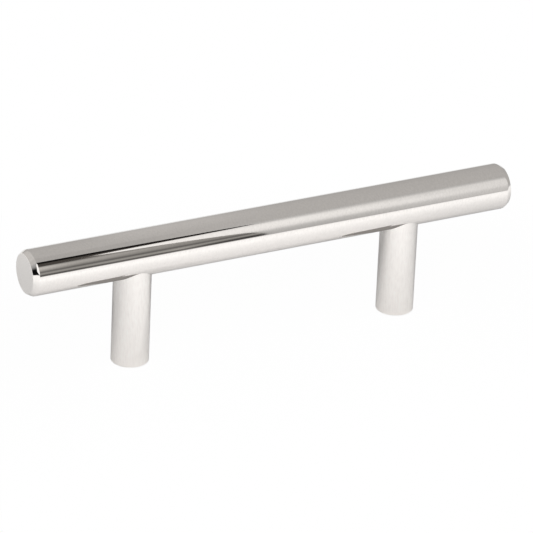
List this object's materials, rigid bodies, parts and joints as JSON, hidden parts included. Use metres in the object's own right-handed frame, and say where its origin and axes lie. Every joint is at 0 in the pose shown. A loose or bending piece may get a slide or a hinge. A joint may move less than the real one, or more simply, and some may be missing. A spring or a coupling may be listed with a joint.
{
  "type": "t bar cabinet pull",
  "caption": "Straight T bar pull for a cabinet door or drawer: a round polished metal grip bar on turned posts that are screwed on from behind.",
  "frame": {"origin": "middle of the plane that both feet stand on, half way between the posts", "axes": "+X along the grip bar, +Y across it, +Z out from the door towards the bar"},
  "size_m": [0.136, 0.012, 0.036],
  "materials": {
    "bar_finish": "polished",
    "post_finish": "polished",
    "stud_steel": "satin"
  },
  "bodies": {
    "root": {"grip_bar": "bar_finish", "post_left": "post_finish", "post_right": "post_finish", "stud_left": "stud_steel", "stud_right": "stud_steel"}
  },
  "joints": []
}
